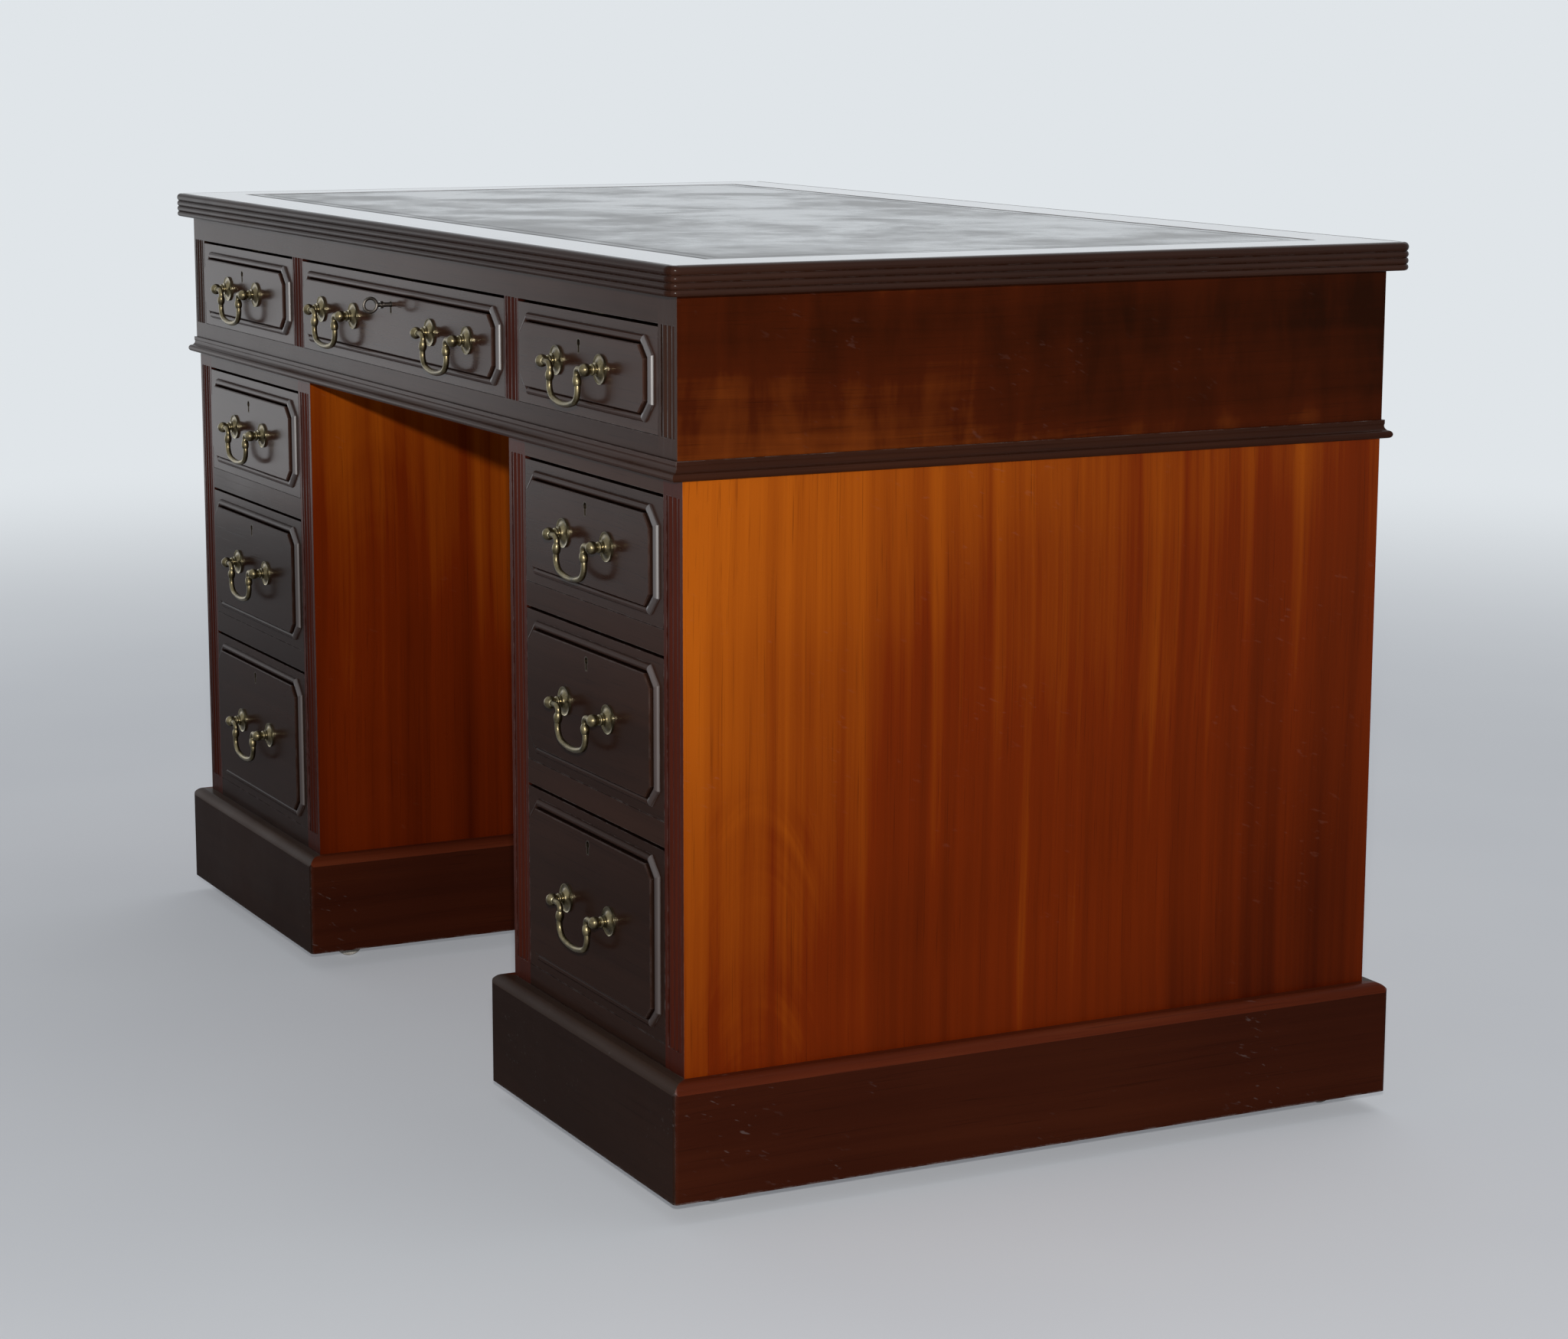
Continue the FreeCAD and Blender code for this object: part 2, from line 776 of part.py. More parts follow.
def dovetails(x_span, z_span, root, tip):
    """Tails at the end of a drawer side, wider at the tip than at the root."""
    low, high = min(z_span), max(z_span)
    count = max(2, round((high - low) / tail_pitch))
    pitch = (high - low) / count
    tails = []
    for number in range(count):
        middle = low + (number + 1 / 2) * pitch
        narrow = pitch * tail_width_share / 2
        wide = narrow + tail_flare
        plan = [
            Vector(min(x_span), root, middle - narrow),
            Vector(min(x_span), tip, middle - wide),
            Vector(min(x_span), tip, middle + wide),
            Vector(min(x_span), root, middle + narrow),
        ]
        tails.append(flat_face(plan).extrude(right * abs(x_span[1] - x_span[0])))
    return tails


def keyhole_prism(middle, level, grow, y_span):
    """A round-topped keyhole with its slot, grown by a rim."""
    length = y_span[1] - y_span[0]
    head = Part.makeCylinder(keyhole_radius + grow, length, Vector(middle, y_span[0], level), back)
    slot_span = about(middle, keyhole_slot_width + 2 * grow)
    slot = board(slot_span, y_span, (level - keyhole_slot_drop - grow, level))
    return joined([head, slot])


def drawer_spans(middle, width, opening):
    """Width and height that a drawer fills in its opening."""
    x_span = about(middle, width - 2 * drawer_side_gap)
    z_span = (opening[0] + drawer_foot_gap, opening[1] - drawer_head_gap)
    return x_span, z_span


def lock_spans(middle, z_span, front):
    """The box that a lock case fills at the back of a drawer front."""
    x_span = about(middle, lock_width)
    y_span = (front + front_board - lock_depth, front + front_board)
    return x_span, y_span, (z_span[1] - lock_height, z_span[1])


def drawer(middle, width, opening, front):
    """Front with its panel, two dovetailed sides, back and bottom."""
    x_span, z_span = drawer_spans(middle, width, opening)
    front_back = front + front_board
    end = front + drawer_length
    field_face = front - panel_raise
    side_top = z_span[1] - drawer_side_drop
    side_span = (z_span[0], side_top)
    bottom_span = (z_span[0] + drawer_bottom_lift, z_span[0] + drawer_bottom_lift + drawer_bottom)
    base = board(x_span, (front, front_back), z_span)
    face = joined([base, panel_field(x_span, z_span, front)] + panel_bead(x_span, z_span, front))
    level = z_span[1] - keyhole_drop
    through = (field_face - overrun, front_back + overrun)
    rim_seat = (field_face - overrun, field_face + escutcheon_depth)
    waste = [
        keyhole_prism(middle, level, 0, through),
        keyhole_prism(middle, level, escutcheon_rim, rim_seat),
        board(*lock_spans(middle, z_span, front)),
    ]
    inner = (x_span[0] + drawer_side, x_span[1] - drawer_side)
    panel_x = (inner[0] - drawer_groove, inner[1] + drawer_groove)
    bottom = board(panel_x, (front_back - drawer_groove, end), bottom_span)
    pieces = [bottom]
    rear_waste = []
    for wall, inside in zip(x_span, inner):
        front_tails = dovetails((wall, inside), side_span, front_back, front + front_lap)
        rear_tails = dovetails((wall, inside), (bottom_span[1], side_top), end - drawer_side, end)
        long_board = board((wall, inside), (front_back, end - drawer_side), side_span)
        heel = board((wall, inside), (end - drawer_side, end), (z_span[0], bottom_span[1]))
        pieces.append(joined([long_board, heel] + front_tails + rear_tails).cut(bottom))
        waste += front_tails
        rear_waste += rear_tails
    pieces.append(face.cut(waste + [bottom]))
    rear = board(x_span, (end - drawer_side, end), (bottom_span[1], side_top))
    pieces.append(rear.cut(rear_waste))
    return pieces


def handle_middles(name, middle):
    """Where the handles of a drawer sit: two on the wide one."""
    if name == "frieze_centre_drawer":
        return {"left_handle": middle - centre_handle_offset, "right_handle": middle + centre_handle_offset}
    return {"handle": middle}


def turned(radius, reach):
    """A point of a turned outline, standing off the drawer front."""
    return Vector(radius, -reach, 0)


def handle_post(at, front, inward):
    """A turned post: dished rose, collar, beaded neck and a bored ball."""
    ball_start = post_reach - math.sqrt(ball_radius ** 2 - neck_radius ** 2)
    hollow_radius = (rose_radius + collar_radius) / 2 - rose_rim
    hollow_reach = (rose_rim + rose_hollow_end) / 2 - rose_rim / 2
    collar_end = rose_hollow_end + collar_length
    bead_middle = (collar_end + ball_start) / 2
    bead_start = bead_middle - neck_bead_half
    bead_end = bead_middle + neck_bead_half
    rose_edge = turned(rose_radius, rose_rim)
    hollow = turned(hollow_radius, hollow_reach)
    collar_foot = turned(collar_radius, rose_hollow_end)
    collar_head = turned(collar_radius, collar_end)
    bead_foot = turned(neck_radius, bead_start)
    bead_head = turned(neck_radius, bead_end)
    neck_head = turned(neck_radius, ball_start)
    ball_tip = turned(0, post_reach + ball_radius)
    curves = [
        line(origin, turned(rose_radius, 0)),
        line(turned(rose_radius, 0), rose_edge),
        arc(rose_edge, hollow, collar_foot),
        line(collar_foot, collar_head),
        line(collar_head, turned(neck_radius, collar_end)),
        line(turned(neck_radius, collar_end), bead_foot),
        arc(bead_foot, turned(neck_bead_radius, bead_middle), bead_head),
        line(bead_head, neck_head),
        arc(neck_head, turned(ball_radius, post_reach), ball_tip),
        line(ball_tip, origin),
    ]
    post = wire_face(curves).revolve(origin, back, 360)
    tip = Vector(-inward * (bail_pin_beyond + bail_end_play), -post_reach, 0)
    bore = Part.makeCylinder(bail_radius + bail_fit, ball_radius + 2 * overrun, tip, right * inward)
    return post.cut(bore).translated(Vector(at.x, front - panel_raise, at.z))


def lock(middle, z_span, front, fixed_bolt):
    """A lock case with its top plate, bored for the key and slotted for the bolt."""
    x_span, y_span, case_z = lock_spans(middle, z_span, front)
    level = z_span[1] - keyhole_drop
    case = board(x_span, y_span, case_z)
    room_x = (x_span[0] + lock_wall, x_span[1] - lock_wall)
    room_y = (y_span[0] + lock_wall, y_span[1] - lock_wall)
    room = board(room_x, room_y, (case_z[0] + lock_wall, case_z[1] - lock_plate))
    bore_start = Vector(middle, y_span[0] - overrun, level)
    bore = Part.makeCylinder(key_radius + key_fit, lock_depth, bore_start, back)
    bit_x = about(middle, keyhole_slot_width)
    bit_way = board(bit_x, (bore_start.y, sum(y_span) / 2), (level - keyhole_slot_drop, level))
    slot_x = about(middle, bolt_width + 2 * bolt_gap)
    slot_y = about(sum(y_span) / 2, bolt_thickness + 2 * bolt_gap)
    slot = board(slot_x, slot_y, (case_z[1] - lock_plate - overrun, case_z[1] + overrun))
    pieces = [case.cut([room, bore, bit_way, slot])]
    if fixed_bolt:
        pieces.append(lock_bolt(middle, z_span, front))
    return pieces


def lock_bolt(middle, z_span, front):
    """The bolt, drawn down flush in its plate."""
    y_span = lock_spans(middle, z_span, front)[1]
    level = z_span[1] - keyhole_drop + bolt_over_key
    bolt_y = about(sum(y_span) / 2, bolt_thickness)
    return board(about(middle, bolt_width), bolt_y, (level, z_span[1] - bolt_flush_drop))


def escutcheon(middle, z_span, front):
    """A thin rim let in flush round the keyhole."""
    level = z_span[1] - keyhole_drop
    face = front - panel_raise
    rim = keyhole_prism(middle, level, escutcheon_rim, (face, face + escutcheon_depth))
    return rim.cut(keyhole_prism(middle, level, 0, (face - overrun, face + escutcheon_depth + overrun)))


def drawer_brass(name, middle, width, opening, front):
    """Handle posts, lock and keyhole rim of one drawer."""
    x_span, z_span = drawer_spans(middle, width, opening)
    level = sum(opening) / 2
    pieces = lock(middle, z_span, front, name != "frieze_centre_drawer")
    pieces.append(escutcheon(middle, z_span, front))
    for at in handle_middles(name, middle).values():
        for way in sides.values():
            pieces.append(handle_post(Vector(at + way * post_spacing / 2, 0, level), front, -way))
    return pieces


def facing(heading):
    """The way a rod points, its heading turned down from +X."""
    return Vector(math.cos(heading), 0, -math.sin(heading))


def bend(start, heading, turn, radius):
    """An arc that leaves its start on a heading, and the point where it ends."""
    way = math.copysign(math.pi / 2, turn)
    centre = start + facing(heading + way) * radius
    middle = centre - facing(heading + turn / 2 + way) * radius
    end = centre - facing(heading + turn + way) * radius
    return arc(start, middle, end), end


def leg_swelling(leg, heel):
    """The barrel that thickens one leg of a bail between its two bends."""
    along = (heel - leg).normalize()
    outward = along.cross(back)
    near = leg + outward * (bail_radius * bail_swell_end_share)
    far = heel + outward * (bail_radius * bail_swell_end_share)
    crest = (leg + heel) / 2 + outward * bail_swell_radius
    curves = [line(leg, near), arc(near, crest, far), line(far, heel), line(heel, leg)]
    return wire_face(curves).revolve(leg, along, 360)


def bail(at, level, front):
    """A swan-neck bail on two pins, hanging from the balls of its posts.

    The path runs from the left pin: neck, leg, corner and half the base."""
    turn = math.radians(bail_turn_degrees)
    bow = math.radians(bail_bow_degrees)
    half = post_spacing / 2
    start = Vector(-half - bail_pin_beyond, 0, 0)
    neck = Vector(bail_neck_start - half, 0, 0)
    neck_bend, leg = bend(neck, 0, turn, bail_neck_radius)
    heel = leg + facing(turn) * bail_leg_length
    corner_bend, foot = bend(heel, turn, bow - turn, bail_corner_radius)
    base, far_foot = bend(foot, bow, -2 * bow, -foot.x / math.sin(bow))
    curves = [line(start, neck), neck_bend, line(leg, heel), corner_bend]
    left_half = [curve.toShape() for curve in curves]
    right_half = [edge.mirror(origin, right) for edge in reversed(left_half)]
    path = Part.Wire(left_half + [base.toShape()] + right_half)
    section = Part.Wire([Part.Circle(start, right, bail_radius).toShape()])
    rod = path.makePipeShell([section], True, True)
    swelling = leg_swelling(leg, heel)
    whole = joined([rod, swelling, swelling.mirror(origin, right)])
    return [whole.translated(Vector(at, front - panel_raise - post_reach, level))]


def drawer_key(middle, z_span, front):
    """Ring bow, collar, round shank and bit, standing in the lock."""
    y_span = lock_spans(middle, z_span, front)[1]
    level = z_span[1] - keyhole_drop
    field_face = front - panel_raise
    tip = y_span[1] - lock_wall - key_tail / 2
    bow_end = field_face - key_reach
    shank = Part.makeCylinder(key_radius, tip - bow_end, Vector(middle, bow_end, level), back)
    bow_middle = Vector(middle, bow_end - key_bow_radius, level)
    bow = Part.makeTorus(key_bow_radius, key_bow_wire, bow_middle, right)
    collar_start = Vector(middle, bow_end + key_collar_length, level)
    collar = Part.makeCylinder(key_collar_radius, key_collar_length, collar_start, back)
    bit_y = about(sum(y_span) / 2, key_bit_length)
    bit = board(about(middle, key_bit_thickness), bit_y, (level - key_bit_reach, level))
    return [joined([shank, bow, collar, bit])]


def save(name, pieces):
    """Write one named piece, moved so the whole outline is centred."""
    whole = Part.makeCompound(pieces).translated(back * frame_shift)
    whole.exportStep(f"parts/{name}.step")


os.makedirs("parts", exist_ok=True)
save("desk_top", desk_top())
save("writing_leather", writing_leather())
save("frieze_case", frieze_case())
save("frieze_front_frame", frieze_front_frame())
save("frieze_partitions", frieze_partitions())
save("waist_moulding", waist_moulding())
for pedestal, side in sides.items():
    save(f"{pedestal}_pedestal_case", pedestal_case(side))
    save(f"{pedestal}_pedestal_front_frame", pedestal_front_frame(side))
    save(f"{pedestal}_plinth", plinth(pedestal))
save("castor_plates", castor_plates())
for name, pedestal, place in castor_places():
    save(f"{name}_castor_horn", castor_horn(place))
    save(f"{name}_castor_wheel", castor_wheel(place))
for name, middle, width, opening, front in drawer_list():
    save(name, drawer(middle, width, opening, front))
    save(f"{name}_brass", drawer_brass(name, middle, width, opening, front))
    for handle, at in handle_middles(name, middle).items():
        save(f"{name}_{handle}", bail(at, sum(opening) / 2, front))
    if name == "frieze_centre_drawer":
        z_span = drawer_spans(middle, width, opening)[1]
        save("centre_lock_bolt", [lock_bolt(middle, z_span, front)])
        save("centre_drawer_key", drawer_key(middle, z_span, front))
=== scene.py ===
import math

import bpy
from mathutils import Euler, Matrix, Vector


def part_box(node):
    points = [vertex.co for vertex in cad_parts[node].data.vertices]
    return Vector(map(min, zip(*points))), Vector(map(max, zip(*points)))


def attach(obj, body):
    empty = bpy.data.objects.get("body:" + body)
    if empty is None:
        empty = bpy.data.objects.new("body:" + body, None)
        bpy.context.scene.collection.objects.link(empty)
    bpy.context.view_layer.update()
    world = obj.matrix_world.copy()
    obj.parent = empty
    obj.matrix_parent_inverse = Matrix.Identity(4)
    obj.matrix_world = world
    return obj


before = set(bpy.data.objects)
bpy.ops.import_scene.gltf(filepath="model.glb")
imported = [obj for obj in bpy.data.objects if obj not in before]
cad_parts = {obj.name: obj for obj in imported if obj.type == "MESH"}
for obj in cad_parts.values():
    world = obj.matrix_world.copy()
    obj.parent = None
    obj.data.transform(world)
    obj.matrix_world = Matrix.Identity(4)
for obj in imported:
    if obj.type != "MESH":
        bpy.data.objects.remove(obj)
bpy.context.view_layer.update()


# Castors: eight iron plates screwed under the corner blocks of the plinths,
# brass horns that swivel in them, and glazed ceramic wheels on brass axles.
# The brass has browned and the iron is dull; the glaze is crazed and dirty.
class Shade:
    """One output of a shader node in a material, with arithmetic that adds Math nodes."""

    def __init__(self, tree, socket=None):
        self.tree = tree
        self.socket = socket

    def node(self, kind, settings=None, inputs=None, output=0):
        """Add a node: its settings first, then the values or links of its sockets."""
        made = self.tree.nodes.new(kind)
        for name, value in (settings or {}).items():
            if name == "stops":
                ramp = made.color_ramp
                while len(ramp.elements) < len(value):
                    ramp.elements.new(1.0)
                for element, (position, colour) in zip(ramp.elements, value):
                    element.position = position
                    element.color = (*colour, 1.0)
            else:
                setattr(made, name, value)
        for name, value in (inputs or {}).items():
            if isinstance(value, Shade):
                self.tree.links.new(value.socket, made.inputs[name])
            else:
                made.inputs[name].default_value = value
        return Shade(self.tree, made.outputs[output])

    def math(self, operation, *values):
        """A Math node on these values."""
        return self.node("ShaderNodeMath", {"operation": operation}, dict(enumerate(values)))

    def __add__(self, other):
        return self.math("ADD", self, other)

    def __radd__(self, other):
        return self.math("ADD", other, self)

    def __sub__(self, other):
        return self.math("SUBTRACT", self, other)

    def __rsub__(self, other):
        return self.math("SUBTRACT", other, self)

    def __mul__(self, other):
        return self.math("MULTIPLY", self, other)

    def __rmul__(self, other):
        return self.math("MULTIPLY", other, self)

    def between(self, low, high):
        """0 below low, 1 above high, smooth from one to the other."""
        limits = {"Value": self, "From Min": low, "From Max": high}
        return self.node("ShaderNodeMapRange", {"interpolation_type": "SMOOTHSTEP"}, limits)

    def colours(self, *stops):
        """A colour for each value, from stops of position and colour."""
        return self.node("ShaderNodeValToRGB", {"stops": stops}, {"Fac": self})

    def over(self, below, colour, blend="MIX"):
        """This value as a mask that lays a colour over the one below."""
        kind = {"data_type": "RGBA", "blend_type": blend}
        made = self.node("ShaderNodeMix", kind, {0: self}, 2)
        for place, value in ((6, below), (7, colour)):
            socket = made.socket.node.inputs[place]
            if isinstance(value, Shade):
                self.tree.links.new(value.socket, socket)
            else:
                socket.default_value = (*value, 1.0)
        return made

    def noise(self, scale, detail=2.0, roughness=0.5, distortion=0.0):
        """Noise over these coordinates, scale counted in waves per metre."""
        sizes = {"Vector": self, "Scale": scale, "Detail": detail, "Roughness": roughness}
        return self.node("ShaderNodeTexNoise", None, {**sizes, "Distortion": distortion})

    def stretched(self, scale):
        """These coordinates scaled along each axis."""
        return self.node("ShaderNodeMapping", None, {"Vector": self, "Scale": scale})

    def axis(self, letter):
        """One coordinate of this place."""
        return self.node("ShaderNodeSeparateXYZ", None, {"Vector": self}, letter)

    def moved(self, by):
        """This place moved by another vector or value."""
        return self.node("ShaderNodeVectorMath", {"operation": "ADD"}, {0: self, 1: by})

    def profile(self, low, high, *shares):
        """Shares at even steps from low to high, with straight runs between them."""
        limits = {"Value": self, "From Min": low, "From Max": high}
        steps = len(shares) - 1
        stops = [(step / steps, (share, share, share)) for step, share in enumerate(shares)]
        return self.node("ShaderNodeMapRange", None, limits).colours(*stops)


def paint(red, green, blue):
    """A screen colour in shares of 255, as linear light."""
    shares = (red / 255, green / 255, blue / 255)
    return tuple(c / 12.92 if c < 0.04045 else ((c + 0.055) / 1.055) ** 2.4 for c in shares)


def start(name):
    """A new material's nodes, the place on the surface as the piece was made, and the shader."""
    material = bpy.data.materials.new(name)
    material.use_nodes = True
    nodes = Shade(material.node_tree)
    made_place = nodes.node("ShaderNodeTexCoord", None, None, "Object")
    return material, made_place, material.node_tree.nodes["Principled BSDF"]


def wire(shader, **sockets):
    """Set or link the shader's sockets, spaces in their names written as underscores."""
    for name, value in sockets.items():
        socket = shader.inputs[name.replace("_", " ")]
        if isinstance(value, Shade):
            value.tree.links.new(value.socket, socket)
        else:
            socket.default_value = value


def rubbed_edges(place, reach):
    """1 along the arrises of a piece, 0 on its flats."""
    eased = place.node("ShaderNodeBevel", {"samples": 4}, {"Radius": reach})
    flat = place.node("ShaderNodeNewGeometry", None, None, "Normal")
    product = {"operation": "DOT_PRODUCT"}
    along = place.node("ShaderNodeVectorMath", product, {0: eased, 1: flat}, "Value")
    return (1.0 - along).between(0.01, 0.16)


def relief(height, depth, strength=1.0):
    """A bump of the given depth in metres from a height of 0 to 1."""
    sizes = {"Strength": strength, "Distance": depth, "Height": height}
    return height.node("ShaderNodeBump", None, sizes)


def aged_metal(name, tones, rough, polish_reach):
    """Cast metal browned in its hollows and rubbed bright along its edges."""
    hollow, body, rubbed = tones
    material, place, shader = start(name)
    cloud = place.noise(90.0, 4.0, 0.6)
    speck = place.noise(700.0, 3.0, 0.6)
    rub = rubbed_edges(place, polish_reach) * (0.45 + cloud)
    toned = (cloud * 0.7 + speck * 0.3).colours((0.3, hollow), (0.62, body))
    pitted = speck.between(0.35, 0.7)
    wire(shader, Base_Color=rub.over(toned, rubbed), Metallic=1.0)
    wire(shader, Roughness=rough + cloud * 0.25 - rub * 0.12)
    wire(shader, Normal=relief(pitted, 0.00006, 0.5))
    return material


def dress(names, *materials):
    """Give every named node these materials in its slots."""
    for name in names:
        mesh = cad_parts[name].data
        mesh.materials.clear()
        for material in materials:
            mesh.materials.append(material)


def named(ending):
    """The nodes whose names end so."""
    return sorted(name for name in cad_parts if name.endswith(ending))


iron_tones = paint(34, 31, 29), paint(70, 66, 63), paint(120, 116, 110)
brass_tones = paint(64, 56, 41), paint(136, 124, 94), paint(202, 192, 158)
dull_iron = aged_metal("dull_iron", iron_tones, 0.5, 0.001)
aged_brass = aged_metal("aged_brass", brass_tones, 0.2, 0.0012)
dress(["castor_plates"], dull_iron)
dress(named("_castor_horn"), aged_brass)


def crazed_glaze():
    """White glaze gone grey, with fine cracks and dirt round the tread."""
    material, place, shader = start("crazed_glaze")
    net = {"Vector": place, "Scale": 420.0}
    crack = place.node("ShaderNodeTexVoronoi", {"feature": "DISTANCE_TO_EDGE"}, net)
    cracked = 1.0 - crack.between(0.0, 0.05)
    dirt = place.noise(140.0, 4.0, 0.65).between(0.42, 0.75)
    glaze = dirt.over(paint(214, 210, 202), paint(150, 140, 124))
    lined = (cracked * 0.5).over(glaze, paint(92, 82, 70))
    wire(shader, Base_Color=lined, Roughness=0.16 + dirt * 0.3)
    wire(shader, Coat_Weight=0.6 - dirt * 0.4, Coat_Roughness=0.08)
    return material


dress(named("_castor_wheel"), crazed_glaze())


# Plinths: four mahogany boards mitred round each pedestal's foot, their top
# edge worked to a sloping step. They take the knocks, so their arrises are
# rubbed pale and the polish is dull and dark near the floor.
dull_level, bright_level = 0.4, 0.53
quirk_reach = 0.006
plain_tint = (1.0, 1.0, 1.0)


def mahogany(
    name, grain, tones, figure=1.0, mottle=0.0, shine=0.3, lustre=0.2,
    tint=plain_tint, wear=0.5, arris=0.0012, scuffs=0.0, grime_and_shade=0.0, polish=(0.0, 0.0), satin=0.6,
    index=1.5, matched=False, tone_and_light=None,
):
    """Polished mahogany: ribbon figure, long pores and rubbed edges.

    The grain runs along one axis, and mottle breaks it with bands across. Matched boards carry the
    figure on from one piece to the next. Scuffs are short pale scratches in patches. Grime and shade
    is old wax and dust in the quirks of the mouldings together with painted shade: every recess and
    corner within six millimetres is darkened and loses its coat. Polish is how full the coat is near
    the floor and near the top, satin how dull it is beside the wood, and index how much it mirrors.
    Tone and light gives what the wood's own shades and painted light and shade add to a place.
    """
    deep, body, bright = tones
    material, place, shader = start(name)
    shifted = place
    if not matched:
        apart = place.node("ShaderNodeObjectInfo", None, None, "Random")
        steps = {"X": apart * 3.0, "Y": apart * 5.0, "Z": apart * 7.0}
        shifted = place.moved(place.node("ShaderNodeCombineXYZ", None, steps))
    length, band = {
        "x": ((0.01, 1.0, 1.0), (1.0, 0.3, 0.3)),
        "y": ((1.0, 0.01, 1.0), (0.3, 1.0, 0.3)),
        "z": ((1.0, 1.0, 0.01), (0.3, 0.3, 1.0)),
    }[grain]
    along = shifted.moved((shifted.noise(1.6, 1.0) - 0.5) * 0.03).stretched(length)
    broad = along.noise(22.0, 3.0, 0.5, 0.1)
    ribbon = along.noise(85.0, 4.0, 0.6, 0.05)
    cloud = shifted.noise(3.0, 2.0, 0.5)
    fleck = shifted.stretched(band).noise(36.0, 3.0, 0.55, 0.4)
    pore = along.noise(720.0, 2.0, 0.6).between(0.56, 0.76)
    stripe = (broad - 0.5) * 0.7 + (ribbon - 0.5) * 0.5
    tone = stripe * figure + (cloud - 0.5) * 0.5 + (fleck - 0.5) * mottle + 0.5
    if tone_and_light:
        tone = tone + tone_and_light(place)
    wood = tone.colours((0.1, deep), (0.5, body), (0.9, bright))
    pored = (pore * 0.4).over(wood, deep)
    rub = rubbed_edges(place, arris) * place.noise(70.0, 4.0, 0.7).between(0.38, 0.7) * wear
    if scuffs > 0.0:
        slant = {"Vector": place, "Rotation": (0.5, 0.4, 0.3)}
        raked = place.node("ShaderNodeMapping", None, slant)
        scratch = raked.stretched((1.0, 0.12, 1.0)).noise(260.0, 2.0, 0.5).between(0.64, 0.74)
        knocked = place.noise(9.0, 3.0, 0.6).between(0.5, 0.64)
        rub = rub + scratch * knocked * scuffs
    pale = tuple(0.6 * c + 0.14 for c in bright)
    filled_and_shaded = 0.0
    # Painted shade together with grime: the occlusion darkens every recess and corner and takes off
    # its coat.
    if grime_and_shade > 0.0:
        reach = {"Distance": quirk_reach}
        open_air = place.node("ShaderNodeAmbientOcclusion", {"samples": 4}, reach, "AO")
        filled_and_shaded = (1.0 - open_air.between(0.35, 0.8)) * grime_and_shade
        pored = filled_and_shaded.over(pored, tuple(0.3 * c for c in deep))
        rub = rub * (1.0 - filled_and_shaded)
    smear = shifted.noise(14.0, 4.0, 0.6)
    roughness = shine + (smear - 0.5) * 0.2 + rub * 0.2
    wire(shader, Base_Color=rub.over(pored, pale), Roughness=roughness)
    wire(shader, Specular_IOR_Level=lustre, Specular_Tint=(*tint, 1.0))
    if max(polish) > 0.0:
        height = place.axis("Z").between(dull_level, bright_level)
        coat = polish[0] + height * (polish[1] - polish[0])
        wire(shader, Coat_Weight=coat * (0.8 + smear * 0.4) - rub - filled_and_shaded)
        wire(shader, Coat_Roughness=shine * satin, Coat_IOR=index)
    wire(shader, Normal=relief(ribbon * 0.3 - pore, 0.0001, 0.25))
    return material


def skins(mesh):
    """The faces of a mesh in groups that share corners, each with its lowest and highest corner."""
    lead = list(range(len(mesh.vertices)))

    def root(corner):
        while lead[corner] != corner:
            lead[corner] = lead[lead[corner]]
            corner = lead[corner]
        return corner

    for face in mesh.polygons:
        first = root(face.vertices[0])
        for corner in face.vertices[1:]:
            lead[root(corner)] = first
    groups = {}
    for face in mesh.polygons:
        groups.setdefault(root(face.vertices[0]), []).append(face)
    for faces in groups.values():
        corners = [mesh.vertices[i].co for face in faces for i in face.vertices]
        low = Vector(min(c[axis] for c in corners) for axis in range(3))
        high = Vector(max(c[axis] for c in corners) for axis in range(3))
        yield faces, low, high


def sort_faces(names, choose):
    """Put each skin of the named nodes into the slot that choose gives for its box."""
    for name in names:
        for faces, low, high in skins(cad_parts[name].data):
            slot = choose(low, high)
            for face in faces:
                face.material_index = slot


def longer_side(low, high):
    """Slot 0 for a skin that runs along the desk's width, 1 along its depth."""
    return 0 if high.x - low.x > high.y - low.y else 1


plinth_front_tones = paint(26, 15, 11), paint(42, 26, 20), paint(58, 37, 28)
plinth_end_tones = paint(32, 11, 5), paint(54, 21, 10), paint(74, 33, 17)
# The step along the top is paler: painted light, where the upward-facing step catches it.
lip_front_lit_tones = paint(34, 22, 17), paint(62, 46, 38), paint(88, 68, 57)
lip_end_lit_tones = paint(44, 15, 7), paint(82, 33, 17), paint(116, 58, 34)
lip_level = 0.1


def plinth_part(low, high):
    """Slots 0 and 1 for the boards across and deep, 2 and 3 for the step along their tops in paler
    painted light.
    """
    return longer_side(low, high) + (2 if low.z > lip_level else 0)


plinth_glow = {"shine": 0.4, "lustre": 0.03, "wear": 1.0, "arris": 0.003, "scuffs": 0.3}
plinths = ["left_plinth", "right_plinth"]
dress(
    plinths,
    mahogany("plinth_wood_across", "x", plinth_front_tones, 0.5, **plinth_glow),
    mahogany("plinth_wood_deep", "y", plinth_end_tones, 0.6, **plinth_glow),
    mahogany("plinth_lip_lit_across", "x", lip_front_lit_tones, 0.8, **plinth_glow),
    mahogany("plinth_lip_lit_deep", "y", lip_end_lit_tones, 0.8, **plinth_glow),
)
sort_faces(plinths, plinth_part)


# Pedestal cases: solid mahogany sides with upright grain, which have bleached
# to amber where light falls on them, and softwood inside. The runners and
# guides that carry the drawers are plain softwood, dark with age.
amber_tones = paint(60, 14, 2), paint(106, 34, 4), paint(166, 82, 13)
amber_tint = (1.0, 0.5, 0.2)
case_low, case_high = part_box("right_pedestal_case")
flame_middle = 0.045


